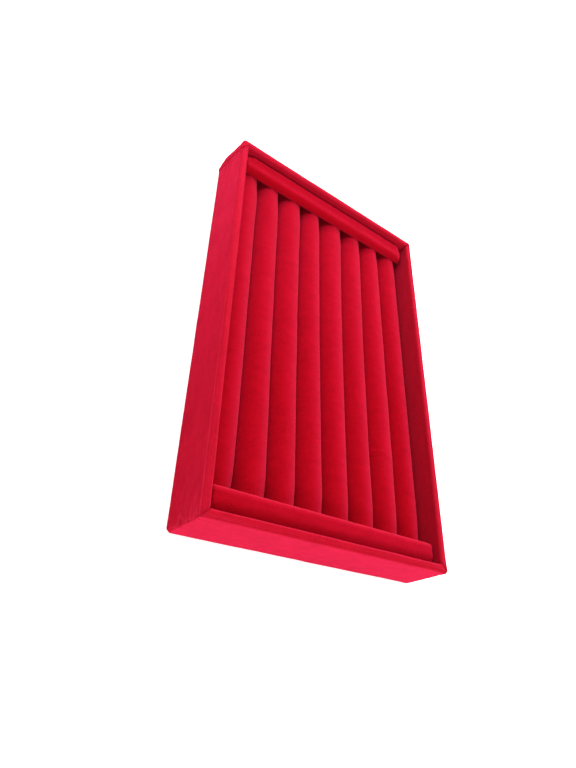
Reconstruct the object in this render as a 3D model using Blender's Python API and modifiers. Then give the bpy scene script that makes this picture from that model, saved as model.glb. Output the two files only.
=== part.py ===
"""Jewellery tray for rings: a velvet-covered board tray and the ring pad that lies in it.

Metres, +Z up. X runs across the rolls and Y along them, the origin is on the table
under the middle of the tray. Left is -X, near is -Y.
The tray: four wall boards and a floor board, each wall covered by its own velvet strip that
is folded over the rim and turned under the floor, a velvet floor lining and a base sheet.
The pad: a card with eight foam rolls side by side, each in a velvet cover with its ends
tucked in, and a velvet-covered bar across the rolls at each end. It lifts straight out.
"""

import math

import bmesh
import bpy

# Overall size of the tray
TRAY_LENGTH = 0.300
TRAY_WIDTH = 0.183
TRAY_HEIGHT = 0.040

# Thickness of the stock
VELVET = 0.0009
WALL_BOARD = 0.0030
FLOOR_BOARD = 0.0025
BASE_SHEET = 0.0005
PAD_CARD = 0.0012

# Room between pieces
GLUE_LINE = 0.0003
PAD_CLEARANCE = 0.0003
PAD_END_CLEARANCE = 0.0005

# Velvet strips on the walls
CORNER_RADIUS = 0.0025
RIM_RADIUS = 0.0016
FOOT_RADIUS = 0.0013
INNER_CORNER_RADIUS = 0.0004
TURN_UNDER = 0.014
MITRE_GAP = 0.0003
CUT_OVERRUN = 0.005

# Boards and sheets
BOARD_EDGE_EASE = 0.0006
BASE_SHEET_MARGIN = 0.0030
BASE_SHEET_CORNER = 0.0050
PAD_CARD_CORNER = 0.0020

# Rolls
ROLL_COUNT = 8
ROLL_END_SLIM = 0.0006
ROLL_END_TAPER = 0.022
ROLL_END_RADIUS = 0.0032
ROLL_TUCK_OPENING = 0.0038

# Bars across the rolls
BAR_WIDTH = 0.0140
BAR_HEIGHT = 0.0064
BAR_EDGE_RADIUS = 0.0028
BAR_END_GAP = 0.0020
BAR_WALL_GAP = 0.0006
BAR_LIP = 0.0022

# Fineness of round stretches
CORNER_SEGMENTS = 4
FOLD_SEGMENTS = 3
ROLL_STEPS = 20
BAR_SEGMENTS = 3

# Worked out from the sizes above, from the table up
SAME_PLACE = GLUE_LINE / 10
STRIP_BOTTOM = BASE_SHEET + GLUE_LINE
BOARD_BOTTOM = STRIP_BOTTOM + VELVET + GLUE_LINE
FLOOR_TOP = BOARD_BOTTOM + FLOOR_BOARD
LINING_BOTTOM = FLOOR_TOP + GLUE_LINE
PAD_BOTTOM = LINING_BOTTOM + VELVET + GLUE_LINE
ROLL_BOTTOM = PAD_BOTTOM + PAD_CARD + GLUE_LINE

COVERED = VELVET + GLUE_LINE
WALL = WALL_BOARD + 2 * COVERED
INNER_WIDTH = TRAY_WIDTH - 2 * WALL
INNER_LENGTH = TRAY_LENGTH - 2 * WALL
BOARD_TOP = TRAY_HEIGHT - COVERED

PAD_WIDTH = INNER_WIDTH - 2 * PAD_CLEARANCE
PAD_LENGTH = INNER_LENGTH - 2 * PAD_END_CLEARANCE
ROLL_PITCH = PAD_WIDTH / ROLL_COUNT
ROLL_RADIUS = (ROLL_PITCH - GLUE_LINE) / 2
ROLL_CENTRE = ROLL_BOTTOM + ROLL_RADIUS
BAR_BOTTOM = ROLL_CENTRE + ROLL_RADIUS + GLUE_LINE
BAR_LENGTH = INNER_WIDTH - 2 * BAR_END_GAP
BAR_MIDDLE = INNER_LENGTH / 2 - BAR_WALL_GAP - BAR_WIDTH / 2

SIDES = {"left": -1, "right": 1}
ENDS = {"near": -1, "far": 1}
TRAY_NAME = "jewelry_tray"
CUTTER_NAME = "jewelry_tray_cutters"


def clear_scene():
    for obj in list(bpy.data.objects):
        bpy.data.objects.remove(obj, do_unlink=True)


def new_collection(name):
    collection = bpy.data.collections.new(name)
    bpy.context.scene.collection.children.link(collection)
    return collection


def linear(value):
    """One sRGB channel, 0 to 255, as a linear value."""
    share = value / 255
    return share / 12.92 if share <= 0.04045 else ((share + 0.055) / 1.055) ** 2.4


def make_material(name, srgb, roughness, sheen=0.0):
    material = bpy.data.materials.new(name)
    material.use_nodes = True
    shader = material.node_tree.nodes["Principled BSDF"]
    colour = (*[linear(channel) for channel in srgb], 1.0)
    shader.inputs["Base Color"].default_value = colour
    shader.inputs["Roughness"].default_value = roughness
    shader.inputs["Metallic"].default_value = 0.0
    shader.inputs["Sheen Weight"].default_value = sheen
    material.diffuse_color = colour
    return material


def place(name, mesh, material, location=(0, 0, 0), parent=None):
    """An object in the tray's collection. Repeated pieces share one mesh and its material."""
    obj = bpy.data.objects.new(name, mesh)
    obj.location = location
    obj.parent = parent
    bpy.data.collections[TRAY_NAME].objects.link(obj)
    if not mesh.materials:
        mesh.materials.append(material)
    return obj


def mesh_from(bm, name, smooth_angle=None):
    bmesh.ops.recalc_face_normals(bm, faces=bm.faces)
    mesh = bpy.data.meshes.new(name)
    bm.to_mesh(mesh)
    bm.free()
    if smooth_angle is not None:
        mesh.shade_smooth()
        mesh.set_sharp_from_angle(angle=smooth_angle)
    return mesh


def box(size):
    """A box as a bmesh, in the middle of X and Y, standing on z = 0."""
    bm = bmesh.new()
    bmesh.ops.create_cube(bm, size=1)
    bmesh.ops.translate(bm, vec=(0, 0, 1 / 2), verts=bm.verts)
    bmesh.ops.scale(bm, vec=size, verts=bm.verts)
    return bm


def upright_edges(bm):
    """The edges that run along Z."""
    return [
        edge for edge in bm.edges
        if (edge.verts[1].co - edge.verts[0].co).xy.length < SAME_PLACE
    ]


def level_edges(bm, height):
    """The edges that lie at this height all along."""
    return [
        edge for edge in bm.edges
        if all(abs(vert.co.z - height) < SAME_PLACE for vert in edge.verts)
    ]


def round_edges(bm, edges, radius, segments):
    bmesh.ops.bevel(
        bm, geom=edges, offset=radius, segments=segments, profile=0.5, affect="EDGES",
    )


# Velvet strips

def arc(centre, radius, start, end, segments):
    """Points (inset, height) round an arc, angles in degrees."""
    angles = [math.radians(start + (end - start) * i / segments) for i in range(segments + 1)]
    return [
        (centre[0] + radius * math.cos(angle), centre[1] + radius * math.sin(angle))
        for angle in angles
    ]


def fold_profile():
    """The strip's face from the turned-under edge, up the outside, over the rim and down.

    Each point is (inset from the tray's outer face, height).
    """
    foot = arc(
        (FOOT_RADIUS, STRIP_BOTTOM + FOOT_RADIUS), FOOT_RADIUS, 270, 180, FOLD_SEGMENTS,
    )
    outer_rim = arc(
        (RIM_RADIUS, TRAY_HEIGHT - RIM_RADIUS), RIM_RADIUS, 180, 90, FOLD_SEGMENTS,
    )
    inner_rim = arc(
        (WALL - RIM_RADIUS, TRAY_HEIGHT - RIM_RADIUS), RIM_RADIUS, 90, 0, FOLD_SEGMENTS,
    )
    return [(TURN_UNDER, STRIP_BOTTOM), *foot, *outer_rim, *inner_rim, (WALL, LINING_BOTTOM)]


def rounded_rectangle(half_x, half_y, radius, segments):
    """The points of a rectangle with round corners, anticlockwise from its right side."""
    points = []
    for quarter, (side_x, side_y) in enumerate(((1, 1), (-1, 1), (-1, -1), (1, -1))):
        for i in range(segments + 1):
            angle = math.radians(90 * (quarter + i / segments))
            points.append((
                side_x * (half_x - radius) + radius * math.cos(angle),
                side_y * (half_y - radius) + radius * math.sin(angle),
            ))
    return points


def velvet_fold_mesh():
    """The face of all four strips at once, lofted through one level loop for each point."""
    bm = bmesh.new()
    loops = []
    for inset, height in fold_profile():
        radius = max(CORNER_RADIUS - inset, INNER_CORNER_RADIUS)
        outline = rounded_rectangle(
            TRAY_WIDTH / 2 - inset, TRAY_LENGTH / 2 - inset, radius, CORNER_SEGMENTS,
        )
        loops.append([bm.verts.new((x, y, height)) for x, y in outline])
    for before, after in zip(loops, loops[1:]):
        for i in range(len(before)):
            bm.faces.new((before[i - 1], before[i], after[i], after[i - 1]))
    return mesh_from(bm, "velvet_fold", math.radians(50))


def mitre_cutter(name, wall_length, across, angle):
    """A block over one wall with its ends mitred, which parts that wall's strip from the rest.

    It is made for the near wall and turned to its side, across the tray from the one opposite.
    """
    depth = TURN_UNDER + 2 * CUT_OVERRUN
    bm = box((wall_length, depth, TRAY_HEIGHT + 2 * CUT_OVERRUN))
    shift = (0, depth / 2 - CUT_OVERRUN, -CUT_OVERRUN)
    bmesh.ops.translate(bm, vec=shift, verts=bm.verts)
    for vert in bm.verts:
        half = wall_length / 2 - vert.co.y - MITRE_GAP / 2 * math.sqrt(2)
        vert.co.x = math.copysign(half, vert.co.x)
    cutter = bpy.data.objects.new(name, mesh_from(bm, name))
    cutter.location = (across / 2 * math.sin(angle), -across / 2 * math.cos(angle), 0)
    cutter.rotation_euler = (0, 0, angle)
    cutter.hide_render = True
    cutter.display_type = "WIRE"
    bpy.data.collections[CUTTER_NAME].objects.link(cutter)
    return cutter


def add_velvet_strips(velvet):
    fold = velvet_fold_mesh()
    walls = {
        "near": (TRAY_WIDTH, TRAY_LENGTH, 0),
        "right": (TRAY_LENGTH, TRAY_WIDTH, math.pi / 2),
        "far": (TRAY_WIDTH, TRAY_LENGTH, math.pi),
        "left": (TRAY_LENGTH, TRAY_WIDTH, -math.pi / 2),
    }
    for side, (wall_length, across, angle) in walls.items():
        strip = place(f"velvet_strip_{side}", fold, velvet)
        solidify = strip.modifiers.new("thickness", "SOLIDIFY")
        solidify.thickness = VELVET
        solidify.offset = -1
        solidify.use_even_offset = True
        mitres = strip.modifiers.new("mitres", "BOOLEAN")
        mitres.operation = "INTERSECT"
        mitres.solver = "EXACT"
        mitres.object = mitre_cutter(f"mitre_{side}", wall_length, across, angle)


# Boards and sheets of the tray

def add_wall_boards(board):
    height = BOARD_TOP - BOARD_BOTTOM
    for side, sign in SIDES.items():
        bm = box((WALL_BOARD, TRAY_LENGTH - 2 * COVERED, height))
        outer = [
            edge for edge in upright_edges(bm)
            if all(vert.co.x * sign > 0 for vert in edge.verts)
        ]
        round_edges(bm, outer, CORNER_RADIUS - COVERED, CORNER_SEGMENTS)
        round_edges(bm, level_edges(bm, height), BOARD_EDGE_EASE, 1)
        x = sign * (TRAY_WIDTH / 2 - COVERED - WALL_BOARD / 2)
        name = f"wall_board_{side}"
        place(name, mesh_from(bm, name), board, (x, 0, BOARD_BOTTOM))
    for end, sign in ENDS.items():
        length = TRAY_WIDTH - 2 * (COVERED + WALL_BOARD + GLUE_LINE)
        bm = box((length, WALL_BOARD, height))
        round_edges(bm, level_edges(bm, height), BOARD_EDGE_EASE, 1)
        y = sign * (TRAY_LENGTH / 2 - COVERED - WALL_BOARD / 2)
        name = f"wall_board_{end}"
        place(name, mesh_from(bm, name), board, (0, y, BOARD_BOTTOM))


def add_floor(board, velvet, paper):
    inside = 2 * (COVERED + WALL_BOARD + GLUE_LINE)
    bm = box((TRAY_WIDTH - inside, TRAY_LENGTH - inside, FLOOR_BOARD))
    place("floor_board", mesh_from(bm, "floor_board"), board, (0, 0, BOARD_BOTTOM))

    bm = box((INNER_WIDTH - 2 * GLUE_LINE, INNER_LENGTH - 2 * GLUE_LINE, VELVET))
    place("floor_lining", mesh_from(bm, "floor_lining"), velvet, (0, 0, LINING_BOTTOM))

    margin = 2 * BASE_SHEET_MARGIN
    bm = box((TRAY_WIDTH - margin, TRAY_LENGTH - margin, BASE_SHEET))
    round_edges(bm, upright_edges(bm), BASE_SHEET_CORNER, CORNER_SEGMENTS)
    place("base_sheet", mesh_from(bm, "base_sheet"), paper)


# Ring pad

def add_pad_card(card, pad):
    bm = box((PAD_WIDTH, PAD_LENGTH, PAD_CARD))
    round_edges(bm, upright_edges(bm), PAD_CARD_CORNER, CORNER_SEGMENTS)
    place("pad_card", mesh_from(bm, "pad_card"), card, parent=pad)


def roll_profile(inset, opening):
    """The turned face of a roll from its middle line, top to bottom, as (radius, height).

    The roll slims towards its ends, whose rounded edge runs in to an opening.
    """
    half = PAD_LENGTH / 2 - inset
    radius = ROLL_RADIUS - inset
    end_radius = ROLL_END_RADIUS - inset
    shoulder = (radius - ROLL_END_SLIM - end_radius, half - end_radius)
    top = arc(shoulder, end_radius, 90, 0, FOLD_SEGMENTS)
    taper = PAD_LENGTH / 2 - ROLL_END_TAPER
    bottom = [(r, -height) for r, height in reversed(top)]
    return [(opening, half), *top, (radius, taper), (radius, -taper), *bottom, (opening, -half)]


def turned_mesh(name, points):
    """A profile in the XZ plane, ready for a Screw modifier about Z."""
    bm = bmesh.new()
    verts = [bm.verts.new((x, 0, z)) for x, z in points]
    for upper, lower in zip(verts, verts[1:]):
        bm.edges.new((upper, lower))
    mesh = bpy.data.meshes.new(name)
    bm.to_mesh(mesh)
    bm.free()
    return mesh


def add_screw(obj):
    screw = obj.modifiers.new("turn", "SCREW")
    screw.axis = "Z"
    screw.steps = screw.render_steps = ROLL_STEPS
    screw.use_merge_vertices = True
    screw.merge_threshold = SAME_PLACE
    screw.use_smooth_shade = True


def add_rolls(velvet, foam, pad):
    """Each roll is turned about Z and laid along Y."""
    cover_mesh = turned_mesh("roll_cover", roll_profile(0, ROLL_TUCK_OPENING))
    foam_mesh = turned_mesh("roll_foam", roll_profile(COVERED, 0))
    for number in range(1, ROLL_COUNT + 1):
        x = (number - (ROLL_COUNT + 1) / 2) * ROLL_PITCH
        centre = (x, 0, ROLL_CENTRE - PAD_BOTTOM)
        cover = place(f"roll_cover_{number}", cover_mesh, velvet, centre, pad)
        core = place(f"roll_foam_{number}", foam_mesh, foam, centre, pad)
        for obj in (cover, core):
            obj.rotation_euler = (math.pi / 2, 0, 0)
            add_screw(obj)
        solidify = cover.modifiers.new("thickness", "SOLIDIFY")
        solidify.thickness = VELVET
        solidify.offset = -1
        solidify.use_even_offset = True


def bar_body(inset):
    """A bar with its top and end edges rounded, smaller all round by the inset."""
    size = [side - 2 * inset for side in (BAR_LENGTH, BAR_WIDTH, BAR_HEIGHT)]
    bm = box(size)
    edges = upright_edges(bm) + level_edges(bm, size[2])
    round_edges(bm, edges, BAR_EDGE_RADIUS - inset, BAR_SEGMENTS)
    return bm


def bar_cover_mesh():
    """The velvet over a bar: closed above and at the ends, with its lips turned under."""
    bm = bar_body(0)
    under = min(bm.faces, key=lambda face: face.calc_center_median().z)
    bmesh.ops.inset_region(bm, faces=[under], thickness=BAR_LIP, use_even_offset=True)
    bmesh.ops.delete(bm, geom=[under], context="FACES")
    return mesh_from(bm, "bar_cover", math.radians(50))


def add_bars(velvet, strip_wood, pad):
    cover_mesh = bar_cover_mesh()
    core_mesh = mesh_from(bar_body(COVERED), "bar_core", math.radians(50))
    height = BAR_BOTTOM - PAD_BOTTOM
    for end, sign in ENDS.items():
        y = sign * BAR_MIDDLE
        cover = place(f"bar_cover_{end}", cover_mesh, velvet, (0, y, height), pad)
        solidify = cover.modifiers.new("thickness", "SOLIDIFY")
        solidify.thickness = VELVET
        solidify.offset = -1
        solidify.use_even_offset = True
        place(f"bar_core_{end}", core_mesh, strip_wood, (0, y, height + COVERED), pad)


def main():
    clear_scene()
    new_collection(TRAY_NAME)
    new_collection(CUTTER_NAME)

    velvet = make_material("red_velvet", (196, 14, 42), 0.92, sheen=0.6)
    board = make_material("fibreboard", (168, 132, 92), 0.85)
    foam = make_material("white_foam", (236, 234, 228), 0.9)
    card = make_material("grey_card", (150, 146, 138), 0.9)
    paper = make_material("red_flock_paper", (140, 12, 30), 0.95)
    wood = make_material("soft_wood", (205, 172, 124), 0.75)

    add_velvet_strips(velvet)
    add_wall_boards(board)
    add_floor(board, velvet, paper)

    pad = bpy.data.objects.new("ring_pad", None)
    pad.location = (0, 0, PAD_BOTTOM)
    bpy.data.collections[TRAY_NAME].objects.link(pad)
    add_pad_card(card, pad)
    add_rolls(velvet, foam, pad)
    add_bars(velvet, wood, pad)


main()
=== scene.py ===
# Red velvet ring tray: its looks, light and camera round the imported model
# Left is -X and near is -Y, so the near wall is the short one at the bottom of the picture
import math

import bmesh
import bpy
from mathutils import Matrix, Vector, noise


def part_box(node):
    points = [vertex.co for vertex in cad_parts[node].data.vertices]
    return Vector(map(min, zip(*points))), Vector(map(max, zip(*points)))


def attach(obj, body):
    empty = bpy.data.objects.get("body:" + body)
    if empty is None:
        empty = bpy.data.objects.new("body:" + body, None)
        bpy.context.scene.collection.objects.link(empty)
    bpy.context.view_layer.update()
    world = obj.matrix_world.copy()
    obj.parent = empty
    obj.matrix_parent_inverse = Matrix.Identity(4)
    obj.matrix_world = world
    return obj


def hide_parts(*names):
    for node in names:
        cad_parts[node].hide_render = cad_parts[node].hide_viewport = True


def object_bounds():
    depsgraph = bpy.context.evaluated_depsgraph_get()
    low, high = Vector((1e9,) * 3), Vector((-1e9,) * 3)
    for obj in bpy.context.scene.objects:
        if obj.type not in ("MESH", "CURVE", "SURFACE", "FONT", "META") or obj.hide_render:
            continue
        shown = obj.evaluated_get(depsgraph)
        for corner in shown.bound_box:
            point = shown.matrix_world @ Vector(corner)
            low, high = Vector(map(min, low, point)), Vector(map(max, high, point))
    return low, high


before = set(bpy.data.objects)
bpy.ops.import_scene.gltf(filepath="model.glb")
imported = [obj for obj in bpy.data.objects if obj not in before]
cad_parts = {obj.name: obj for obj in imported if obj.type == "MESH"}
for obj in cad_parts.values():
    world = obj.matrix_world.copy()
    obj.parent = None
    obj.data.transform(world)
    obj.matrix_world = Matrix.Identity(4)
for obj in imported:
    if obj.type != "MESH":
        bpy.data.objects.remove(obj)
cadBounds = [list(corner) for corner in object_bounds()]
bpy.ops.object.select_all(action="DESELECT")


# Sizes that the frame gives, in metres

def sizesFromFrame():
    low, high = cadBounds
    boardLow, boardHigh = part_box("wall_board_near")
    stripLow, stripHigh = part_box("velvet_strip_near")
    firstLow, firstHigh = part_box("roll_cover_1")
    covered = boardLow.y - low[1]  # the velvet on one face of the board
    return {
        "width": high[0] - low[0],
        "length": high[1] - low[1],
        "height": high[2],
        "wall": boardHigh.y + covered - low[1],
        "stripBottom": stripLow.z,
        "turnUnder": stripHigh.y - low[1],
        "liningBottom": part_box("floor_lining")[0].z,
        "rollRadius": (firstHigh.x - firstLow.x) / 2,
        "rollPitch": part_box("roll_cover_2")[0].x - firstLow.x,
        "rollLength": firstHigh.y - firstLow.y,
        "rollBottom": firstLow.z,
        "rollTop": firstHigh.z,
    }


size = sizesFromFrame()
millimetre = 0.001
rollNumbers = range(1, 9)
ends = {"near": -1, "far": 1}


# Small tools

def activate(piece):  # the only piece that is selected
    bpy.ops.object.select_all(action="DESELECT")
    piece.select_set(True)
    bpy.context.view_layer.objects.active = piece


def editMode(piece):
    activate(piece)
    bpy.ops.object.mode_set(mode="EDIT")
    bpy.ops.mesh.select_all(action="DESELECT")


def objectMode():
    bpy.ops.object.mode_set(mode="OBJECT")


def pick(piece, kind, test):  # selects the edges or faces for which the test holds
    bpy.ops.mesh.select_mode(type=kind)
    bpy.ops.mesh.select_all(action="DESELECT")
    bm = bmesh.from_edit_mesh(piece.data)
    for item in (bm.edges if kind == "EDGE" else bm.faces):
        if test(item):
            item.select_set(True)
    bm.select_flush_mode()
    bmesh.update_edit_mesh(piece.data)


def span(edge, axis):  # how far the edge runs along X, Y or Z, which are 0, 1 and 2
    return abs(edge.verts[0].co[axis] - edge.verts[1].co[axis])


def settled(piece, name):  # names a piece and puts its place into its mesh
    piece.name = name
    piece.data.name = name
    activate(piece)
    bpy.ops.object.transform_apply(location=True, rotation=True, scale=True)
    return piece


def applied(piece, kind, **settings):  # adds one modifier and applies it
    modifier = piece.modifiers.new(kind.lower(), kind)
    for key, value in settings.items():
        setattr(modifier, key, value)
    activate(piece)
    bpy.ops.object.modifier_apply(modifier=modifier.name)


def clothThickness(piece, thickness):
    applied(piece, "SOLIDIFY", thickness=thickness, offset=-1, use_even_offset=False)
    piece.data.shade_smooth()


def sculpt(piece, move):  # gives each point its new place, from its place and its normal
    before = [(vert.co.copy(), vert.normal.copy()) for vert in piece.data.vertices]
    for vert, (place, normal) in zip(piece.data.vertices, before):
        vert.co = move(place, normal)
    piece.data.update()


def wave(point, length, seed):  # soft noise from -1 to 1 whose bumps are this long
    return noise.noise(Vector(point) / length + Vector((seed, seed * 0.37, -seed)))


def rise(value, start, end):  # 0 before start, 1 after end, smooth between
    share = min(max((value - start) / (end - start), 0), 1)
    return share * share * (3 - 2 * share)


def finished(piece, body, finish, node):  # it stands for this CAD node
    piece.data.materials.clear()
    piece.data.materials.append(finish)
    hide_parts(node)
    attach(piece, body)


# Materials

def hexColour(code):  # an sRGB hex colour as linear values
    channels = [int(code[i:i + 2], 16) / 255 for i in (1, 3, 5)]
    return [c / 12.92 if c <= 0.04045 else ((c + 0.055) / 1.055) ** 2.4 for c in channels] + [1]


def addNode(material, kind, settings=None, links=None):
    node = material.node_tree.nodes.new("ShaderNode" + kind)
    for name, value in (settings or {}).items():
        if isinstance(name, int) or name in node.inputs:
            node.inputs[name].default_value = value
        else:
            setattr(node, name, value)
    for name, source in (links or {}).items():
        material.node_tree.links.new(source, node.inputs[name])
    return node


velvetLook = {
    # colour painted by how far the cloth turns from the eye, 0 straight on and 1 edge on: a painted sheen
    # and painted shade, set for these lamps, over the pile's deep red
    "rolls": {0.05: "#8d0512", 0.16: "#900615", 0.36: "#9b0b20",
              0.67: "#a8182d", 0.78: "#ad1d35", 1.0: "#b02842"},
    "long walls": {0.23: "#970e21", 0.29: "#a31225", 0.4: "#a8152a", 0.5: "#ac1933", 0.6: "#9b0f23",
                   0.68: "#a7142c", 0.74: "#b21b37", 1.0: "#b2294b"},
    "short walls": {0.05: "#a5162e", 0.18: "#9c0d20", 0.34: "#9d0f22", 0.45: "#aa182d",
                    0.62: "#a7142b", 0.68: "#ab1a34", 0.76: "#b21c39", 1.0: "#b2294b"},
    "grain": 1.3,               # mm: real pile is finer, but this is the least that shows in the picture
    "brush": 4.5,               # mm: streaks where the pile was brushed
    "lean": 24,                 # mm: patches where the pile leans another way
    "grainShare": 1.6,          # beside the brush streaks, whose share is 1
    "leanShare": 0.5,
    "mixed": (1.1, 2.0),        # the three noises together lie about here
    "uneven": (0.88, 1.12),     # how far they darken and lighten the velvet
    "relief": 0.2 * millimetre,
    "lint": "#e0708a",
    "lintApart": 34,            # mm: a speck of lint here and there
    "lintSize": (0.01, 0.017),  # its middle and its edge, as shares of that
    "lintCover": 0.4,
    "roughness": (0.82, 1.0),
}


def cottonVelvet(name, shades, along):
    # Cut-pile velvet: matt and deep red when seen straight on, with a painted pink sheen at a low angle and
    # painted shade, both in its base colour.
    # along is the direction in which the rows of pile run.
    material = bpy.data.materials.new(name)
    material.use_nodes = True
    tree = material.node_tree
    shader = tree.nodes["Principled BSDF"]
    shader.inputs["Specular IOR Level"].default_value = 0
    place = addNode(material, "TexCoord")

    # noise coordinates whose bumps are this wide in mm, and longer or shorter along the rows
    def rows(width, stretch):
        scale = [1 / millimetre / width * (stretch if axis == along else 1) for axis in "XYZ"]
        mapping = addNode(material, "Mapping", {"Scale": scale}, {"Vector": place.outputs["Object"]})
        return {"Vector": mapping.outputs["Vector"]}

    grain = addNode(material, "TexNoise", {"Scale": 1, "Detail": 3, "Roughness": 0.6},
                    rows(velvetLook["grain"], 0.5))
    brush = addNode(material, "TexNoise", {"Scale": 1, "Detail": 2}, rows(velvetLook["brush"], 0.4))
    lean = addNode(material, "TexNoise", {"Scale": 1 / millimetre / velvetLook["lean"], "Detail": 2},
                   {"Vector": place.outputs["Object"]})
    fine = addNode(material, "Math", {"operation": "MULTIPLY_ADD", 1: velvetLook["grainShare"]},
                   {0: grain.outputs["Fac"], 2: brush.outputs["Fac"]})
    mixed = addNode(material, "Math", {"operation": "MULTIPLY_ADD", 1: velvetLook["leanShare"]},
                    {0: lean.outputs["Fac"], 2: fine.outputs["Value"]})
    low, high = velvetLook["mixed"]
    least, most = velvetLook["uneven"]
    mottle = addNode(material, "MapRange",
                     {"From Min": low, "From Max": high, "To Min": least, "To Max": most},
                     {"Value": mixed.outputs["Value"]})
    relief = addNode(material, "Bump", {"Strength": 0.3, "Distance": velvetLook["relief"]},
                     {"Height": grain.outputs["Fac"]})
    # painted sheen and painted shade: the base colour is read from the stops by the angle between surface
    # and eye
    turned = addNode(material, "LayerWeight", {"Blend": 0.5})
    ramp = addNode(material, "ValToRGB", links={"Fac": turned.outputs["Facing"]})
    for position in sorted(shades)[1:-1]:
        ramp.color_ramp.elements.new(position)
    for stop, position in zip(ramp.color_ramp.elements, sorted(shades)):
        stop.position = position
        stop.color = hexColour(shades[position])
    # the painted sheen and shade, made darker or lighter at random by the mottle
    paintedSheenMottled = addNode(material, "HueSaturation",
                   links={"Color": ramp.outputs["Color"], "Value": mottle.outputs["Result"]})
    specks = addNode(material, "TexVoronoi", {"Scale": 1}, rows(velvetLook["lintApart"], 1.8))
    solid, rim = velvetLook["lintSize"]
    isLint = addNode(material, "MapRange",
                     {"From Min": solid, "From Max": rim, "To Min": velvetLook["lintCover"], "To Max": 0},
                     {"Value": specks.outputs["Distance"]})
    linted = addNode(material, "Mix", {"data_type": "RGBA"}, {"Factor": isLint.outputs["Result"]})
    linted.inputs["B"].default_value = hexColour(velvetLook["lint"])
    tree.links.new(paintedSheenMottled.outputs["Color"], linted.inputs["A"])
    smoothest, roughest = velvetLook["roughness"]
    rough = addNode(material, "MapRange", {"To Min": smoothest, "To Max": roughest},
                    {"Value": grain.outputs["Fac"]})
    tree.links.new(linted.outputs["Result"], shader.inputs["Base Color"])
    tree.links.new(rough.outputs["Result"], shader.inputs["Roughness"])
    tree.links.new(relief.outputs["Normal"], shader.inputs["Normal"])
    return material


# three copies of one velvet, whose stops paint a different sheen and shade onto the rolls and bars, the
# long walls and lining, and the short walls
velvets = {
    "rolls": cottonVelvet("cotton_velvet_across_painted_sheen", velvetLook["rolls"], "X"),
    "long walls": cottonVelvet("cotton_velvet_along_painted_sheen", velvetLook["long walls"], "Y"),
    "short walls": cottonVelvet("cotton_velvet_short_painted_sheen", velvetLook["short walls"], "X"),
}


def boardFinish(name, dark, light, grain, relief, roughness, sheen=0):
    # A plain board, card or foam: two close shades in grains of the given sizes in mm, and a light relief
    material = bpy.data.materials.new(name)
    material.use_nodes = True
    shader = material.node_tree.nodes["Principled BSDF"]
    shader.inputs["Roughness"].default_value = roughness
    shader.inputs["Sheen Weight"].default_value = sheen
    place = addNode(material, "TexCoord")
    stretch = addNode(material, "Mapping", {"Scale": [1 / millimetre / g for g in grain]},
                      {"Vector": place.outputs["Object"]})
    fibres = addNode(material, "TexNoise", {"Scale": 1, "Detail": 5, "Roughness": 0.65},
                     {"Vector": stretch.outputs["Vector"]})
    shade = addNode(material, "ValToRGB", links={"Fac": fibres.outputs["Fac"]})
    shade.color_ramp.elements[0].position = 0.35
    shade.color_ramp.elements[0].color = hexColour(dark)
    shade.color_ramp.elements[1].position = 0.7
    shade.color_ramp.elements[1].color = hexColour(light)
    bumps = addNode(material, "Bump", {"Strength": 0.4, "Distance": relief * millimetre},
                    {"Height": fibres.outputs["Fac"]})
    tree = material.node_tree
    tree.links.new(shade.outputs["Color"], shader.inputs["Base Color"])
    tree.links.new(bumps.outputs["Normal"], shader.inputs["Normal"])
    return material


finishes = {
    # raw medium-density fibreboard: brown, felted fibres about a millimetre long
    "fibreboard": boardFinish("raw_fibreboard", "#97744c", "#b79569", (1.2, 1.2, 0.5), 0.05, 0.85),
    # planed pine strip: its grain runs along the bar
    "pine": boardFinish("planed_pine", "#b98d58", "#dcb886", (60, 1.6, 1.6), 0.05, 0.6),
    # bookbinder's grey card: pressed waste paper with darker flecks
    "card": boardFinish("grey_card", "#7f7a72", "#9d978d", (0.8, 0.8, 0.8), 0.03, 0.9),
    # paper with a thin coat of red flock
    "flockPaper": boardFinish("flocked_paper", "#7e0d1c", "#98142a", (0.6, 0.6, 0.6), 0.06, 0.95, 0.4),
    # closed-cell foam rod: off-white with cells about 0.7 mm wide
    "foam": boardFinish("foam_rod", "#c4beb1", "#ddd8cd", (0.7, 0.7, 0.7), 0.15, 0.8),
}

boardFinishes = {
    "fibreboard": ("wall_board_left", "wall_board_right", "wall_board_near", "wall_board_far",
                   "floor_board"),
    "card": ("pad_card",),
    "flockPaper": ("base_sheet",),
}


def finishBoards():  # the boards, the card and the underside sheet keep their shape and get a finish
    for finish, names in boardFinishes.items():
        for name in names:
            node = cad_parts[name]
            node.data.materials.clear()
            node.data.materials.append(finishes[finish])


# Velvet strips: one for each wall, turned under the floor, folded over the rim and down inside

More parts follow.
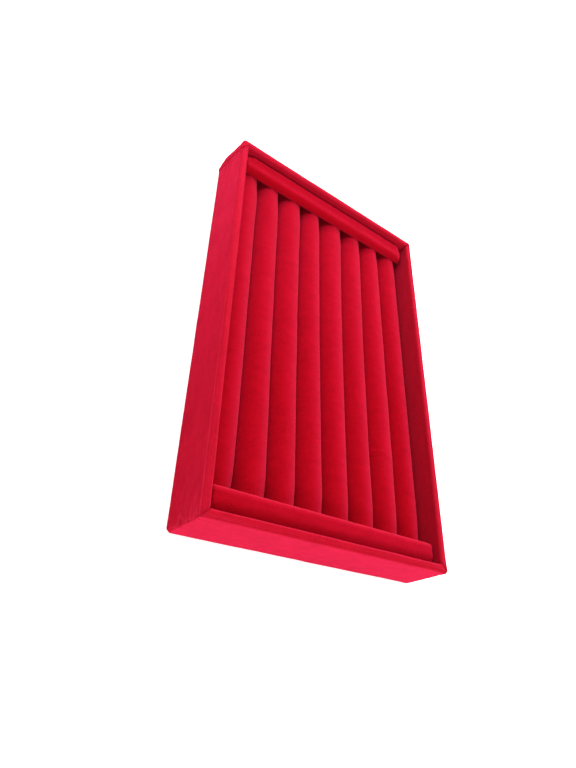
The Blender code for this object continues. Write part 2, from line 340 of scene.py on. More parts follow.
strip = {
    "thickness": 0.9 * millimetre,
    "footRoundness": 1.3 * millimetre,
    "footFaces": 4,
    "rimRoundness": 1.6 * millimetre,
    "rimFaces": 5,
    "straightColumns": 66,          # faces from the wall's middle to its corner, round that,
    "arcColumns": 6,                # and beside the seam
    "edgeColumns": 6,
    "evenSpread": 0.45,             # 1 spaces them evenly, less crowds them to the corner
    "edgeZone": 2.2 * millimetre,   # the columns are finest this near to a seam
    "edgeCrowd": 1.6,
    "rowHeight": 0.8 * millimetre,
    "edgeRoll": 0.45 * millimetre,  # how far the upper strip's end rolls down at a seam
    "edgeRollWidth": 0.6 * millimetre,
    "lap": 1.2 * millimetre,        # how far the lower strip runs on under the upper one
    "lapDepth": 0.8 * millimetre,
    "lapSlope": 1.0 * millimetre,
    "wallDepth": 0.35,              # a seam's depth on the wall, as a share of that on the rim
    "seamDeep": {"farLeft": 1, "nearLeft": 0.9},  # these two lie deep all the way up
    "footDepth": 0.3,               # and at the foot, as a share of that above it
    "seamWobble": 0.8 * millimetre,
    "seamBend": 7 * millimetre,     # length of the wobble's bends, and of the small ones on them
    "seamSmallBend": 2.6 * millimetre,
    "seamStart": 6 * millimetre,    # the seam starts straight at the foot
    "pucker": 0.4 * millimetre,
    "puckerSpacing": 2.6 * millimetre,
    "puckerReach": 4.0 * millimetre,
    "puckerLow": 0.4,               # share of the puckers in the wall's lower half
    "wallWave": 0.16 * millimetre,
    "wallBump": 24 * millimetre,
    "wallSmallBump": 7 * millimetre,
    "wallSmallShare": 0.35,
    "pleatLap": 0.35 * millimetre,  # how proud the far strip's end lies on the left wall
    "pleatLapEnd": (2 * millimetre, 6 * millimetre),  # and where that fades out
}
halfColumns = strip["straightColumns"] + strip["arcColumns"] + strip["edgeColumns"]

# for each wall: turn about Z from the near wall, the strip's length, the distance to the wall
# opposite, and the corners at its left and right end as seen from outside
walls = {
    "near": (0, size["width"], size["length"], "nearLeft", "nearRight"),
    "right": (90, size["length"], size["width"], "nearRight", "farRight"),
    "far": (180, size["width"], size["length"], "farRight", "farLeft"),
    "left": (270, size["length"], size["width"], "farLeft", "nearLeft"),
}
# the wobble of each corner's seam is drawn from its own number
cornerSeeds = {"nearLeft": 3.1, "nearRight": 7.7, "farRight": 12.9, "farLeft": 21.3}


def foldedStrip(side):  # the plain fold, made for the near wall with its outer face at y = -across / 2
    length, across = walls[side][1:3]
    face = -across / 2
    underMiddle = (0, face + size["turnUnder"] / 2, size["stripBottom"])
    bpy.ops.mesh.primitive_plane_add(size=1, location=underMiddle)
    piece = bpy.context.object
    piece.scale = (length, size["turnUnder"], 1)
    settled(piece, f"velvet_{side}")
    editMode(piece)
    pick(piece, "EDGE", lambda edge: all(vert.co.y < face + millimetre for vert in edge.verts))
    for step in (
        (0, 0, size["height"] - size["stripBottom"]),    # up the outside
        (0, size["wall"], 0),                            # over the rim
        (0, 0, size["liningBottom"] - size["height"]),   # and down the inside
    ):
        bpy.ops.mesh.extrude_region_move(TRANSFORM_OT_translate={"value": step})
    isFoot = lambda vert: vert.co.z < size["stripBottom"] + millimetre and vert.co.y < face + millimetre
    pick(piece, "EDGE", lambda edge: all(isFoot(vert) for vert in edge.verts))
    bpy.ops.mesh.bevel(offset=strip["footRoundness"], segments=strip["footFaces"], profile=0.5)
    isRim = lambda vert: vert.co.z > size["height"] - millimetre / 10
    pick(piece, "EDGE", lambda edge: all(isRim(vert) for vert in edge.verts) and span(edge, 0) > millimetre)
    bpy.ops.mesh.bevel(offset=strip["rimRoundness"], segments=strip["rimFaces"], profile=0.5)
    pick(piece, "EDGE", lambda edge: span(edge, 0) > millimetre)
    bpy.ops.mesh.subdivide(number_cuts=halfColumns - 1)  # one call makes 100 cuts at most
    bpy.ops.mesh.subdivide(number_cuts=1)
    for height in sorted({round(edgeLength(edge), 6) for edge in bmesh.from_edit_mesh(piece.data).edges
                          if isUpright(edge) and edgeLength(edge) > 2 * strip["rowHeight"]}):
        pick(piece, "EDGE",
             lambda edge: isUpright(edge) and abs(edgeLength(edge) - height) < millimetre / 100)
        bpy.ops.mesh.subdivide(number_cuts=round(height / strip["rowHeight"]) - 1)
    bpy.ops.mesh.select_all(action="SELECT")
    bpy.ops.mesh.remove_doubles(threshold=millimetre / 1000)
    bpy.ops.mesh.normals_make_consistent(inside=False)
    objectMode()
    outerFace = min(piece.data.polygons,
                    key=lambda face: face.center.y + abs(face.center.z - size["height"] / 2))
    if outerFace.normal.y > 0:
        editMode(piece)
        bpy.ops.mesh.select_all(action="SELECT")
        bpy.ops.mesh.flip_normals()
        objectMode()
    return piece


def edgeLength(edge):
    return (edge.verts[0].co - edge.verts[1].co).length


def isUpright(edge):  # runs across the strip, not along it
    return span(edge, 0) < millimetre / 100


# the foot stands a little wider than the rim: how far each corner of it lies out, in mm,
# and the power with which that fades on the way up
footCorners = {
    "nearLeft": (-1.1, -0.1),
    "nearRight": (3.4, -0.3),
    "farRight": (1.0, 1.0),
    "farLeft": (-0.4, 1.6),
}
footFade = 1.3
# the folded cloth lies proud at the far left corner
farLeftFold = {
    "foot": (0.0, 3.4 * millimetre, 1.0 * millimetre),  # how far at the foot
    "fullest": (-1.1 * millimetre, 1.2 * millimetre, 0),  # and how far more at its fullest
    "height": 14 * millimetre,  # which is this high up
    "spread": 11 * millimetre,
    "reach": 8 * millimetre,
}
# a small dimple in the left wall, beside the near left corner
dimple = {
    "place": (-91.5 * millimetre, -147.2 * millimetre, 17.5 * millimetre),
    "width": 1.8 * millimetre,
    "depth": 1.2 * millimetre,
}
# how far each upright corner is rounded, in mm: at the foot, in the wall and at the rim,
# and the shares of the height over which it changes
cornerRoundness = {
    "nearLeft": (2.8, 0.8, 1.2),
    "nearRight": (2.6, 1.5, 2.2),
    "farRight": (2.2, 1.5, 1.7),
    "farLeft": (3.0, 1.8, 3.3),
}
footToWall, wallToRim = (0, 0.35), (0.7, 0.95)


def cornerRadius(corner, height):
    foot, middle, rim = cornerRoundness[corner]
    share = height / size["height"]
    radius = foot + (middle - foot) * rise(share, *footToWall) + (rim - middle) * rise(share, *wallToRim)
    return radius * millimetre


def footShift(x, y, height):  # how far the outer cloth stands out here, fading out towards the rim
    right, far = x / size["width"] + 0.5, y / size["length"] + 0.5
    shares = {"nearLeft": (1 - right) * (1 - far), "nearRight": right * (1 - far),
              "farLeft": (1 - right) * far, "farRight": right * far}
    out = sum((Vector(footCorners[corner]) * share for corner, share in shares.items()), Vector((0, 0)))
    out *= millimetre * max(1 - height / size["height"], 0) ** footFade
    out = out.to_3d()
    fromCorner = math.hypot(x + size["width"] / 2, y - size["length"] / 2)
    near = math.exp(-(fromCorner / farLeftFold["reach"]) ** 2)
    foot = Vector(farLeftFold["foot"]) * (1 - rise(height, 0, size["height"]))
    foot.z *= 1 - rise(height, 0, farLeftFold["height"])
    out += near * foot
    fromFullest = (height - farLeftFold["height"]) / farLeftFold["spread"]
    out += near * Vector(farLeftFold["fullest"]) * math.exp(-fromFullest ** 2)
    fromDimple = (Vector((x, y, height)) - Vector(dimple["place"])).length
    out.x += dimple["depth"] * math.exp(-(fromDimple / dimple["width"]) ** 2)
    return out


# the far left seam lies on the left wall, this far from the middle of the corner's round
pleat = {
    "atFoot": 4.6 * millimetre,
    "atMiddle": 6.0 * millimetre,
    "middle": 22 * millimetre,
    "atRim": 9.0 * millimetre,
}


def seamShift(corner, inset, height):  # how far the seam lies past the mitre, towards the next wall
    seed = cornerSeeds[corner]
    shift = strip["seamWobble"] * wave((inset, height, 0), strip["seamBend"], seed)
    shift += strip["seamWobble"] * 0.5 * wave((inset, height, 0), strip["seamSmallBend"], seed + 1)
    shift *= rise(height, 0, strip["seamStart"])
    if corner != "farLeft":
        return shift
    if inset > size["wall"] - millimetre / 2 and height < size["height"] - strip["rimRoundness"]:
        return 0
    lower = pleat["atFoot"] + (pleat["atMiddle"] - pleat["atFoot"]) * rise(height, 0, pleat["middle"])
    lap = lower + (pleat["atRim"] - lower) * rise(height, pleat["middle"], size["height"])
    if height > size["height"] - strip["rimRoundness"]:
        lap *= 1 - rise(inset, 0, size["wall"])
    if height < size["stripBottom"] + millimetre / 10:
        lap *= 1 - rise(inset, 0, 4 * millimetre)
    return lap + 0.6 * shift


def columnPlace(column, arcStart, arcEnd, end):  # how far along a column lies, finer towards the end
    straight, arc, edge = strip["straightColumns"], strip["arcColumns"], strip["edgeColumns"]
    hasRoom = end > arcEnd + strip["edgeZone"] + 0.3 * millimetre
    nearEnd = end - strip["edgeZone"] if hasRoom else (arcStart + end) / 2
    nearEnd = max(nearEnd, arcStart)
    if column <= straight:
        share, even = column / straight, strip["evenSpread"]
        return arcStart * (even * share + (1 - even) * math.sin(share * math.pi / 2))
    if column <= straight + arc:
        return arcStart + (nearEnd - arcStart) * (column - straight) / arc
    share = (column - straight - arc) / edge
    return nearEnd + (end - nearEnd) * (1 - (1 - share) ** strip["edgeCrowd"])


def turnedCorner(along, inset, arcStart, radius):  # a place along the wall and round its corner
    if radius < millimetre / 10:
        if along <= arcStart:
            return along, inset, 0
        return arcStart, inset + along - arcStart, 90
    angle = min((along - arcStart) / radius, math.pi / 2)
    if angle <= 0:
        return along, inset, 0
    past = max(along - arcStart - radius * math.pi / 2, 0)
    x = arcStart + radius * math.sin(angle)
    y = inset + radius * (1 - math.cos(angle)) + past
    return x, y, math.degrees(angle)


def shapeStrip(piece, side):
    turn, length, across, leftCorner, rightCorner = walls[side]
    upright = Matrix.Rotation(math.radians(turn), 3, "Z")

    def move(place, normal):
        sign = 1 if place.x > 0 else -1
        corner = rightCorner if sign > 0 else leftCorner
        seed = cornerSeeds[corner]
        inset, height = place.y + across / 2, place.z
        radius = max(cornerRadius(corner, height) - inset, 0)
        arcStart = length / 2 - inset - radius
        seam = arcStart + radius * math.pi / 4 + seamShift(corner, inset, height) * sign
        over = side in ends
        end = seam if over else seam + strip["lap"]
        along = columnPlace(round(abs(place.x) / (length / 2) * halfColumns), arcStart,
                            arcStart + radius * math.pi / 2, end)
        x, y, angle = turnedCorner(along, inset, arcStart, radius)
        turned = Vector((math.sin(math.radians(angle)), -math.cos(math.radians(angle)), 0))
        outward = Vector((-normal.y * turned.x, -normal.y * turned.y, normal.z))
        fromSeam = seam - along
        onRim = rise(height, 0.9 * size["height"], 0.99 * size["height"])
        deep = strip["seamDeep"].get(corner, strip["wallDepth"] + (1 - strip["wallDepth"]) * onRim)
        deep *= strip["footDepth"] + (1 - strip["footDepth"]) * rise(height, 0, strip["seamStart"])
        if over:
            step = -strip["edgeRoll"] * deep * math.exp(-(fromSeam / strip["edgeRollWidth"]) ** 2)
        else:
            step = -strip["lapDepth"] * deep * (1 - rise(fromSeam, 0, strip["lapSlope"]))
        if over and corner == "farLeft" and sign > 0:
            step += strip["pleatLap"] * (1 - rise(fromSeam, *strip["pleatLapEnd"]))
        upper = rise(height, size["height"] / 2, size["height"])
        nearSeam = strip["puckerLow"] + (1 - strip["puckerLow"]) * upper
        nearSeam *= math.exp(-max(fromSeam, 0) / strip["puckerReach"])
        pinch = wave((inset, height, fromSeam * 0.15), strip["puckerSpacing"], seed + 5)
        pinch *= strip["pucker"] * 2
        spot = (along * sign, inset, height)
        body = wave(spot, strip["wallBump"], seed)
        body += wave(spot, strip["wallSmallBump"], seed + 2) * strip["wallSmallShare"]
        body *= strip["wallWave"]
        if height < size["stripBottom"] + millimetre and inset > millimetre:  # glued flat under the floor
            body *= 0.3
            pinch = 0
        lift = body + nearSeam * pinch + step
        moved = outward * lift
        moved = Vector(((x + moved.x) * sign, y - across / 2 + moved.y, height + moved.z))
        standing = upright @ moved
        shift = footShift(standing.x, standing.y, height) * (1 - rise(inset, millimetre, size["wall"]))
        return moved + upright.inverted() @ shift

    sculpt(piece, move)


def addStrips():
    for side, (turn, length, *rest) in walls.items():
        piece = foldedStrip(side)
        shapeStrip(piece, side)
        piece.rotation_euler = (0, 0, math.radians(turn))
        settled(piece, f"velvet_{side}")
        clothThickness(piece, strip["thickness"])
        finish = velvets["short walls" if side in ends else "long walls"]
        finished(piece, "tray", finish, f"velvet_strip_{side}")
        print("strip", side, len(piece.data.polygons), "faces")


# Rolls: each a foam rod in a velvet cover whose ends are tucked in

roll = {
    "around": 40,
    "along": 72,
    "slack": 0.965,                 # the cover before it is blown up, as a share of its size
    "shorter": 1.5 * millimetre,    # and how much shorter it is then
    # each end is tucked in by these steps, in metres: how far in, and how far out along the roll
    "tuck": ((0.0022, 0.0006), (0.0024, 0.0001), (0.0018, -0.0012), (0.0008, -0.0022)),
    "tuckIn": 10 * millimetre,      # how much of the cloth goes into each end
    "glued": (0.93, 0.35),          # shares of the radius: below the one and within the other
    "thickness": 0.9 * millimetre,
    "cloth": {"quality": 6, "mass": 0.2, "tension_stiffness": 12, "compression_stiffness": 12,
              "shear_stiffness": 5, "bending_stiffness": 0.4, "uniform_pressure_force": 4.0},
    "frames": 20,
    "mostSwell": 0.9 * millimetre,
    "pressedSides": 1.035,          # the flanks are widened by this, then pressed flat at the crease
    "sideGap": 0.05 * millimetre,
    "flatUnder": 0.97,              # share of the radius at which the roll lies flat on the card
    "flankFall": 3.0 * millimetre,  # the flanks fall away near the ends, under the bars
    "flankStart": 13 * millimetre,
    "flankEnd": 32 * millimetre,
    "pleats": 13,
    "pleatDepth": 0.35 * millimetre,
    "pleatReach": 5 * millimetre,
    "wave": 0.16 * millimetre,
    "bump": 26 * millimetre,
    "bumpLonger": 2.2,              # along the roll, beside round it
    "smallBump": 8 * millimetre,
    "smallShare": 0.3,
    "softFrom": (-0.2, 0.3),        # waves and folds set in over these shares of the radius
    "underBar": 16 * millimetre,    # a bar lies on this much of each end
    "creaseWobble": 0.22,           # mm, beside the shifts below, in bends of this length
    "creaseBend": 45 * millimetre,
}

# how far each crease between two rolls lies to the right of its even place, in mm:
# at the far end, in the middle and at the near end
creaseShift = {
    1: (-1.1, -0.7, -0.8), 2: (-2.0, -1.3, 0.6), 3: (-1.1, -1.4, 0.5), 4: (-2.7, -2.3, 0.6),
    5: (0.5, -1.6, 0.9), 6: (0.1, -1.3, 0.6), 7: (-1.2, 0.0, 0.5), 8: (-0.9, -0.9, -0.9),
}


def creaseLine(number, y):  # the x of the crease after this roll
    base = (number - len(rollNumbers) / 2) * size["rollPitch"]
    if number == 0:
        return base
    far, middle, near = creaseShift[number]
    share = y / (size["rollLength"] / 2)
    shift = far * share * (share + 1) / 2 + middle * (1 - share * share) + near * share * (share - 1) / 2
    wobble = roll["creaseWobble"] * wave((number * 1.7, y, 0), roll["creaseBend"], number * 3.3)
    return base + (shift + wobble) * millimetre


def flankFall(across, fromEnd):  # across is 0 on top of the roll and 1 at its crease
    return roll["flankFall"] * (1 - rise(fromEnd, roll["flankStart"], roll["flankEnd"])) * abs(across) ** 3


def rollMiddle(number):  # its x and z before the creases wander
    x = (number - (len(rollNumbers) + 1) / 2) * size["rollPitch"]
    return x, (size["rollBottom"] + size["rollTop"]) / 2


def rollSkin(number):
    x, middle = rollMiddle(number)
    radius, length = size["rollRadius"] * roll["slack"], size["rollLength"] - roll["shorter"]
    bpy.ops.mesh.primitive_cylinder_add(
        vertices=roll["around"], radius=radius, depth=length, end_fill_type="NGON",
        location=(x, 0, middle), rotation=(math.pi / 2, 0, 0))
    piece = settled(bpy.context.object, f"roll_{number}")
    editMode(piece)
    pick(piece, "EDGE", lambda edge: span(edge, 1) > millimetre)
    bpy.ops.mesh.subdivide(number_cuts=roll["along"] - 1)
    pick(piece, "FACE", lambda face: len(face.verts) > 4)
    for thickness, depth in roll["tuck"]:
        bpy.ops.mesh.inset(thickness=thickness, depth=depth)
    objectMode()
    glued = piece.vertex_groups.new(name="glued")
    below, within = [radius * share for share in roll["glued"]]
    tucked = [vert.index for vert in piece.data.vertices
              if vert.co.z < middle - below or math.hypot(vert.co.x - x, vert.co.z - middle) < within]
    glued.add(tucked, 1.0, "REPLACE")
    return piece


def blowUp(pieces):  # the foam pushes each cover out, as cloth with pressure inside it
    before = {}
    for piece in pieces:
        before[piece.name] = [vert.co.copy() for vert in piece.data.vertices]
        cloth = piece.modifiers.new("cloth", "CLOTH")
        for name, value in roll["cloth"].items():
            setattr(cloth.settings, name, value)
        cloth.settings.use_pressure = True
        cloth.settings.effector_weights.gravity = 0
        cloth.settings.vertex_group_mass = "glued"
        cloth.point_cache.frame_end = roll["frames"]
    for step in range(1, roll["frames"] + 1):
        bpy.context.scene.frame_set(step)
    for piece in pieces:
        activate(piece)
        bpy.ops.object.modifier_apply(modifier="cloth")
        for vert, start in zip(piece.data.vertices, before[piece.name]):
            swell = vert.co - start
            if swell.length > roll["mostSwell"]:
                vert.co = start + swell.normalized() * roll["mostSwell"]
    bpy.context.scene.frame_set(1)


def shapeRoll(piece, number):
    x0, middle = rollMiddle(number)
    radius, half = size["rollRadius"], size["rollLength"] / 2
    swollen = max(vert.co.z for vert in piece.data.vertices) - middle

    def move(place, normal):
        y = max(min(place.y, half), -half)
        left, right = creaseLine(number - 1, y), creaseLine(number, y)
        centre, halfWidth = (left + right) / 2, (right - left) / 2 - roll["sideGap"]
        across = (place.x - x0) / swollen
        up = (place.z - middle) / swollen
        x = centre + max(min(across * roll["pressedSides"], 1), -1) * halfWidth
        z = middle + (up if up >= -roll["flatUnder"] else -1) * radius
        longer = roll["bumpLonger"]
        soft = wave((x * longer, y, z * longer), roll["bump"], number * 5.1) * roll["wave"]
        soft += wave((x, y, z), roll["smallBump"], number * 2.3) * roll["wave"] * roll["smallShare"]
        top = rise(up, *roll["softFrom"])
        fromEnd = half - abs(y)
        z -= flankFall(across, fromEnd) * top
        gather = math.exp(-fromEnd / roll["pleatReach"]) * roll["pleatDepth"]
        around = math.atan2(across, up)
        soft += gather * math.cos(around * roll["pleats"] + number) * top
        if number == crossWrinkle["roll"]:
            soft += wrinkle(place.y, around)
        return Vector((x + normal.x * soft * top, y, z + normal.z * soft * top))

    if number == crossWrinkle["roll"]:
        ringsAtWrinkle(piece)
    sculpt(piece, move)
    lowest, highest = size["rollBottom"] - 0.2 * millimetre, size["rollTop"] + crossWrinkle["height"]
    for vert in piece.data.vertices:
        vert.co.z = max(min(vert.co.z, highest), lowest)
        if abs(vert.co.y) > half - roll["underBar"]:
            vert.co.z = min(vert.co.z, size["rollTop"] + 0.1 * millimetre)


# a small wrinkle across one roll
crossWrinkle = {
    "roll": 7,
    "y": -72.9 * millimetre,
    "bend": 1.3 * millimetre,    # it runs a little aslant round the roll
    "height": 1.0 * millimetre,
    "width": 0.8 * millimetre,
    "valley": 1.7 * millimetre,  # how far on the valley beside it lies, and its share of the height
    "valleyShare": 0.5,
    "turn": 25,                  # degrees: it is highest this far down the left flank
    "spread": 50,
    "reach": 7 * millimetre,     # so far to each side the roll has finer rings
    "cuts": 6,
}


def wrinkle(y, around):  # how high it stands there; it fades out down the flanks
    bend = crossWrinkle["y"] - crossWrinkle["bend"] * math.sin(around)
    width = crossWrinkle["width"]
    ridge = math.exp(-((y - bend) / width) ** 2)
    valley = crossWrinkle["valleyShare"] * math.exp(-((y - bend + crossWrinkle["valley"]) / width) ** 2)
    fade = math.exp(-((math.degrees(around) + crossWrinkle["turn"]) / crossWrinkle["spread"]) ** 2)
    return crossWrinkle["height"] * (ridge - valley) * fade


def ringsAtWrinkle(piece):  # finer rings round the roll, so that the small wrinkle has a shape
    centre, reach = crossWrinkle["y"], crossWrinkle["reach"]
    editMode(piece)
    pick(piece, "EDGE", lambda edge: span(edge, 1) > 2 * millimetre and
         abs((edge.verts[0].co.y + edge.verts[1].co.y) / 2 - centre) < reach)
    bpy.ops.mesh.subdivide(number_cuts=crossWrinkle["cuts"])
    objectMode()


def openTuck(piece):  # the tuck stays open over the foam, as the cloth's edge lies inside it
    editMode(piece)
    pick(piece, "FACE", lambda face: len(face.verts) > 4)
    bpy.ops.mesh.delete(type="FACE")
    objectMode()


def addRolls():
    skins = [rollSkin(number) for number in rollNumbers]
    blowUp(skins)
    for number, piece in zip(rollNumbers, skins):
        openTuck(piece)
        applied(piece, "SUBSURF", levels=1, render_levels=1)
        shapeRoll(piece, number)
        clothThickness(piece, roll["thickness"])
        finished(piece, "ring_pad", velvets["rolls"], f"roll_cover_{number}")
        print("roll", number, len(piece.data.polygons), "faces")


# Bars across the rolls' ends

def movedBox(node, moved):  # its low and high corner, each moved by this much in mm
    return [corner + Vector(by) * millimetre for corner, by in zip(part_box(node), moved)]


def block(name, low, high):  # a box between these corners, open for editing
    bpy.ops.mesh.primitive_cube_add(size=1, location=(low + high) / 2)
    piece = bpy.context.object
    piece.scale = high - low
    settled(piece, name)
    editMode(piece)
    return piece


bar = {
    "thickness": 0.9 * millimetre,
    # how far the top edges are rounded, in mm along X, Y and Z: towards the tray's middle, towards its wall
    "round": {"near": ((0.9, 4.4, 3.4), (0.9, 6.4, 4.3)), "far": ((1.8, 5.0, 5.2), (1.8, 1.2, 1.2))},
    # how far its low and high corner are moved, in mm: the far bar lies a little off its wall
    "moved": {"near": ((0, 0, 0), (0, 0, 0.1)), "far": ((0, -2.0, 0), (0, -2.8, -0.9))},
    "rearRise": {"near": 0, "far": 1.9 * millimetre},  # its cloth rises towards the wall
    "endDraw": {"near": (0, 0), "far": (0, 3.4 * millimetre)},  # how far the rear draws in: left, right
    "endFall": {"near": (0, 0), "far": (0, 1.2 * millimetre)},  # how far the ends hang: left, right
    "endReach": 7 * millimetre,
    "fuller": {"near": 1.1 * millimetre, "far": 0},  # its far side stands out at the left end
    "lip": 2.2 * millimetre,
    "wave": 0.16 * millimetre,
    "bump": 18 * millimetre,
    "smallBump": 5 * millimetre,
    "smallShare": 0.4,
    "softFrom": 0.3,             # share of its height from which the cloth waves
    "cuts": (90, 14, 7),         # along X, Y and Z
    "crowded": (0.6, 0.5, 0.3),  # how much those cuts crowd towards the edges
    "pinch": 0.25 * millimetre,  # folds in the wrapped ends
    "pinchReach": 3.5 * millimetre,
    "pinches": 7,                # the more, the closer together they lie
}


def evened(share, most):  # spreads even cuts so that they crowd towards both ends
    return 0.5 * math.sin(share * math.pi) * most + share * (1 - most)


def cutCorner(one, other):  # how much shorter cloth is that goes round a corner instead of into it
    return one + other - math.pi / 2 * math.sqrt((one * one + other * other) / 2)


def addBars():
    for end, sign in ends.items():
        low, high = movedBox(f"bar_cover_{end}", bar["moved"][end])
        middle, whole = (low + high) / 2, high - low
        inside, outside = [Vector(radii) * millimetre for radii in bar["round"][end]]
        ridge = low.y + inside.y if sign > 0 else high.y - inside.y
        piece = block(f"bar_{end}", low, high)
        for axis, cuts in enumerate(bar["cuts"]):
            pick(piece, "EDGE", lambda edge: span(edge, axis) > 3 * millimetre)
            bpy.ops.mesh.subdivide(number_cuts=cuts)
        pick(piece, "FACE", lambda face: face.normal.z < -0.9 and
             abs(face.calc_center_median().y - middle.y) < whole.y / 2 - bar["lip"] and
             abs(face.calc_center_median().x - middle.x) < whole.x / 2 - bar["lip"])
        bpy.ops.mesh.delete(type="FACE")
        objectMode()

        def move(place, normal):
            share = [(place[axis] - middle[axis]) / whole[axis] for axis in range(3)]
            place = middle + Vector([evened(share[axis], bar["crowded"][axis]) * whole[axis]
                                     for axis in range(3)])
            floor = place.z < low.z + millimetre / 100
            radii = outside if (place.y - ridge) * sign > 0 else inside
            inner = Vector([min(max(place[axis], low[axis] + radii[axis]), high[axis] - radii[axis])
                            for axis in range(3)])
            if radii is inside:
                inner.y = max(place.y, ridge) if sign > 0 else min(place.y, ridge)
            if place.z < inner.z:  # only the top is rounded; the upright edges keep their own round
                inner.z = place.z
            way = Vector([(place[axis] - inner[axis]) / radii[axis] for axis in range(3)])
            if way.length > 0 and not floor:
                way.normalize()
                place = inner + Vector([way[axis] * radii[axis] for axis in range(3)])
            out = Vector([way[axis] / radii[axis] for axis in range(3)]) if way.length > 0 else normal
            out = out.normalized()
            across = (place.y - middle.y) / whole.y * 2
            top = rise(place.z, low.z + bar["softFrom"] * whole.z, high.z)
            fromEnd = whole.x / 2 - abs(place.x - middle.x)
            soft = wave(place, bar["bump"], 4.4 + sign) * bar["wave"]
            soft += wave(place, bar["smallBump"], 9.4 + sign) * bar["wave"] * bar["smallShare"]
            fold = math.exp(-(fromEnd / bar["pinchReach"]) ** 2)
            fold *= max(math.cos(across * bar["pinches"] + sign), 0) ** 3
            behind = max((place.y - ridge) * sign, 0) / (whole.y - inside.y)
            close = 1 - rise(fromEnd, 0, bar["endReach"])
            right = place.x > middle.x
            lifted = bar["rearRise"][end] * behind * behind * (1 - close)
            place.z += (lifted - bar["endFall"][end][right] * close) * top
            place.y -= bar["endDraw"][end][right] * close * behind * sign
            fuller = bar["fuller"][end] * (high.x - place.x) / whole.x * (across + 1) / 2
            return place + out * (soft - bar["pinch"] * fold * (1 - floor)) * top + Vector((0, fuller, 0))

        sculpt(piece, move)
        clothThickness(piece, bar["thickness"])
        finished(piece, "ring_pad", velvets["rolls"], f"bar_cover_{end}")
        girth = 2 * whole.z + whole.y + 2 * bar["lip"]
        girth -= cutCorner(inside.y, inside.z) + cutCorner(outside.y, outside.z)
        length = whole.x + 2 * whole.z - 2 * cutCorner(inside.x, inside.z)
        print("bar", end, len(piece.data.polygons), "faces")


core = {
    # how far its top edges are rounded: towards the tray's middle and towards its wall
    "near": (1.0 * millimetre, 3.2 * millimetre),
    "far": (1.6 * millimetre, 0.8 * millimetre),
    "ends": {"near": 0.6 * millimetre, "far": 1.2 * millimetre},
    # how far its low and high corner are moved, in mm, as it goes with its cover
    "moved": {"near": ((0, 0, 0), (0, 0, 0)), "far": ((2.6, -1.5, 0), (-2.6, -3.4, -1.3))},
}


def addCores():  # planed strips inside the bars, their top edges rounded off
    for end, sign in ends.items():
        low, high = movedBox(f"bar_core_{end}", core["moved"][end])
        middle, whole = (low + high) / 2, high - low
        piece = block(f"core_{end}", low, high)
        for way, roundness in zip((-sign, sign), core[end]):
            pick(piece, "EDGE", lambda edge: edgeLength(edge) > whole.x / 2 and all(
                vert.co.z > high.z - millimetre / 10 and (vert.co.y - middle.y) * way > 0.49 * whole.y
                for vert in edge.verts))
            bpy.ops.mesh.bevel(offset=roundness, segments=5, profile=0.5)
        pick(piece, "FACE", lambda face: abs(face.normal.x) > 0.9)
        bpy.ops.mesh.region_to_loop()
        bpy.ops.mesh.bevel(offset=core["ends"][end], segments=3, profile=0.5)
        objectMode()
        piece.data.shade_smooth()
        applied(piece, "WEIGHTED_NORMAL", keep_sharp=True)
        finished(piece, "ring_pad", finishes["pine"], f"bar_core_{end}")


# Foam rods inside the rolls, and the lining of the tray's floor

foam = {
    "around": 32,
    "along": 60,
    "endRoundness": 2.0 * millimetre,
    "endInset": 3 * millimetre,
    "inside": 1.35 * millimetre,  # how far the rod lies in from the cover's outer face
    "wave": 0.12 * millimetre,
    "bump": 9 * millimetre,
}
lining = {
    "across": 60,
    "along": 100,
    "thickness": 0.8 * millimetre,
    "wave": 0.1 * millimetre,
    "bump": 30 * millimetre,
    "smallBump": 9 * millimetre,
    "edgeDip": 0.25 * millimetre,
    "edgeWidth": 1.5 * millimetre,
}


def addFoamRods():
    for number in rollNumbers:
        low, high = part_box(f"roll_foam_{number}")
        middle, length = (low + high) / 2, high.y - low.y
        bpy.ops.mesh.primitive_cylinder_add(
            vertices=foam["around"], radius=(high.x - low.x) / 2, depth=length, end_fill_type="NGON",
            location=middle, rotation=(math.pi / 2, 0, 0))
        piece = settled(bpy.context.object, f"foam_{number}")
        editMode(piece)
        pick(piece, "EDGE", lambda edge: span(edge, 1) < millimetre)
        bpy.ops.mesh.bevel(offset=foam["endRoundness"], segments=3, profile=0.5)
        pick(piece, "FACE", lambda face: len(face.verts) > 4)
        bpy.ops.mesh.inset(thickness=foam["endInset"])
        pick(piece, "EDGE", lambda edge: span(edge, 1) > length / 2)
        bpy.ops.mesh.subdivide(number_cuts=foam["along"])
        objectMode()

        def move(place, normal):
            across = (place.x - middle.x) / (high.x - low.x) * 2
            top = rise(place.z, middle.z - millimetre, middle.z + 3 * millimetre)
            fall = flankFall(across, length / 2 - abs(place.y)) * top
            left, right = creaseLine(number - 1, place.y), creaseLine(number, place.y)
            squeezed = (left + right) / 2 + across * ((right - left) / 2 - foam["inside"]) - place.x
            soft = normal * (wave(place, foam["bump"], number * 1.9) - 1) * foam["wave"]
            return place + soft + Vector((squeezed, 0, -fall))

        sculpt(piece, move)
        piece.data.shade_smooth()
        finished(piece, "ring_pad", finishes["foam"], f"roll_foam_{number}")


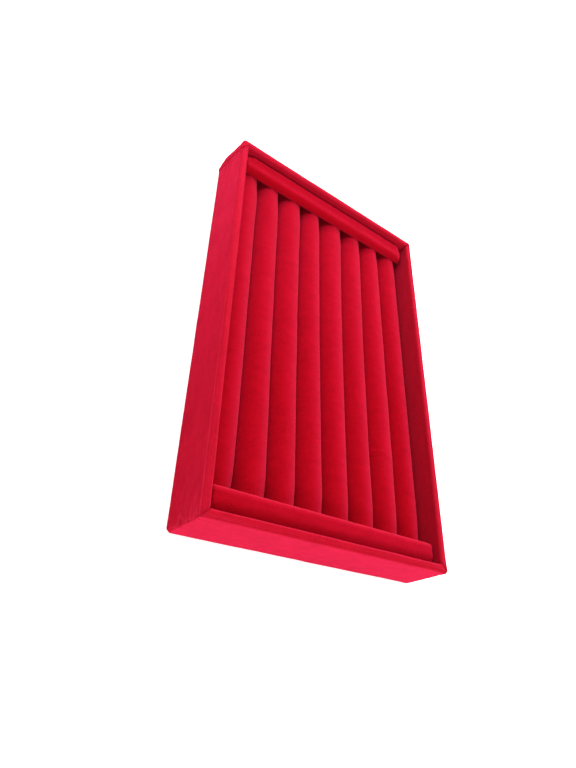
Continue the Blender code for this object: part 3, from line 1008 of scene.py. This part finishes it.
def addLining():
    low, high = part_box("floor_lining")
    bpy.ops.mesh.primitive_grid_add(
        x_subdivisions=lining["across"], y_subdivisions=lining["along"], size=1,
        location=((low.x + high.x) / 2, (low.y + high.y) / 2, high.z - lining["edgeDip"]))
    piece = bpy.context.object
    piece.scale = (high.x - low.x, high.y - low.y, 1)
    settled(piece, "lining")

    def move(place, normal):
        fromEdge = min(high.x - abs(place.x), high.y - abs(place.y))
        dip = lining["edgeDip"] * (1 - rise(fromEdge, 0, lining["edgeWidth"]))
        soft = wave(place, lining["bump"], 6.2) + 0.4 * wave(place, lining["smallBump"], 2.8)
        return place + Vector((0, 0, soft * lining["wave"] - dip))

    sculpt(piece, move)
    clothThickness(piece, lining["thickness"])
    finished(piece, "tray", velvets["long walls"], "floor_lining")


# Camera, floor and light

camera = {
    "place": (-0.21043, -0.23453, 0.28345),
    "forward": (0.48663, 0.51883, -0.70285),
    "up": (-0.32419, 0.85434, 0.40620),
    "lens": 25.86,  # mm, on a sensor as wide as this
    "sensor": 36,
}


def addCamera():
    data = bpy.data.cameras.new("camera")
    data.lens = camera["lens"]
    data.sensor_width = camera["sensor"]
    eye = bpy.data.objects.new("camera", data)
    bpy.context.scene.collection.objects.link(eye)
    forward = Vector(camera["forward"]).normalized()
    right = forward.cross(Vector(camera["up"])).normalized()
    up = right.cross(forward)
    turn = Matrix((right, up, -forward)).transposed().to_4x4()
    eye.matrix_world = Matrix.Translation(camera["place"]) @ turn
    bpy.context.scene.camera = eye


studio = {
    "floor": 60,        # metres: it ends beyond what any view shows
    "world": 0.12,      # the plain white backdrop as a light
    "backdrop": 0.56,   # and as the camera sees it above the floor, like the far floor
    "paper": (0.92, 0.92, 0.92, 1),
    "floorGlow": 0.45,  # the white paper glows a little, so that no shadow falls on it
    "lights": {         # degrees round from +X, degrees up, metres off, watts, metres wide
        "near": (270, 20, 5, 258, 3.4),
        "far": (90, 24, 3, 134, 2.3),
        "farHigh": (90, 70, 1, 7, 0.8),
        "top": (0, 90, 2.5, 8, 1.6),
        "leftFar": (150, 40, 1.2, 5.5, 0.9),
        "left": (180, 30, 2.5, 4, 1.6),
        "right": (0, 45, 2.5, 8, 1.6),
        "nearRight": (315, 30, 2.5, 14, 1.6),
    },
}


def addStage():
    bpy.ops.mesh.primitive_plane_add(size=studio["floor"])
    floor = bpy.context.object
    floor.name = "floor"
    material = bpy.data.materials.new("white_paper")
    material.use_nodes = True
    shader = material.node_tree.nodes["Principled BSDF"]
    shader.inputs["Base Color"].default_value = studio["paper"]
    shader.inputs["Roughness"].default_value = 0.9
    shader.inputs["Emission Color"].default_value = (1, 1, 1, 1)
    shader.inputs["Emission Strength"].default_value = studio["floorGlow"]
    floor.data.materials.append(material)
    world = bpy.data.worlds.new("studio")
    bpy.context.scene.world = world
    world.use_nodes = True
    background = world.node_tree.nodes["Background"]
    background.inputs["Color"].default_value = (1, 1, 1, 1)
    ray = addNode(world, "LightPath")
    strength = addNode(world, "MapRange", {"To Min": studio["world"], "To Max": studio["backdrop"]},
                       {"Value": ray.outputs["Is Camera Ray"]})
    world.node_tree.links.new(strength.outputs["Result"], background.inputs["Strength"])
    for name, (azimuth, elevation, distance, power, width) in studio["lights"].items():
        data = bpy.data.lights.new(name, "AREA")
        data.size = width
        data.energy = power
        lamp = bpy.data.objects.new(name, data)
        bpy.context.scene.collection.objects.link(lamp)
        azimuth, elevation = math.radians(azimuth), math.radians(elevation)
        level = math.cos(elevation)
        toward = Vector((math.cos(azimuth) * level, math.sin(azimuth) * level, math.sin(elevation)))
        lamp.location = toward * distance
        lamp.rotation_euler = toward.to_track_quat("Z", "Y").to_euler()


addCamera()
addStage()
bpy.context.scene.view_settings.view_transform = "Standard"
addStrips()
addRolls()
addBars()
addCores()
addFoamRods()
addLining()
finishBoards()
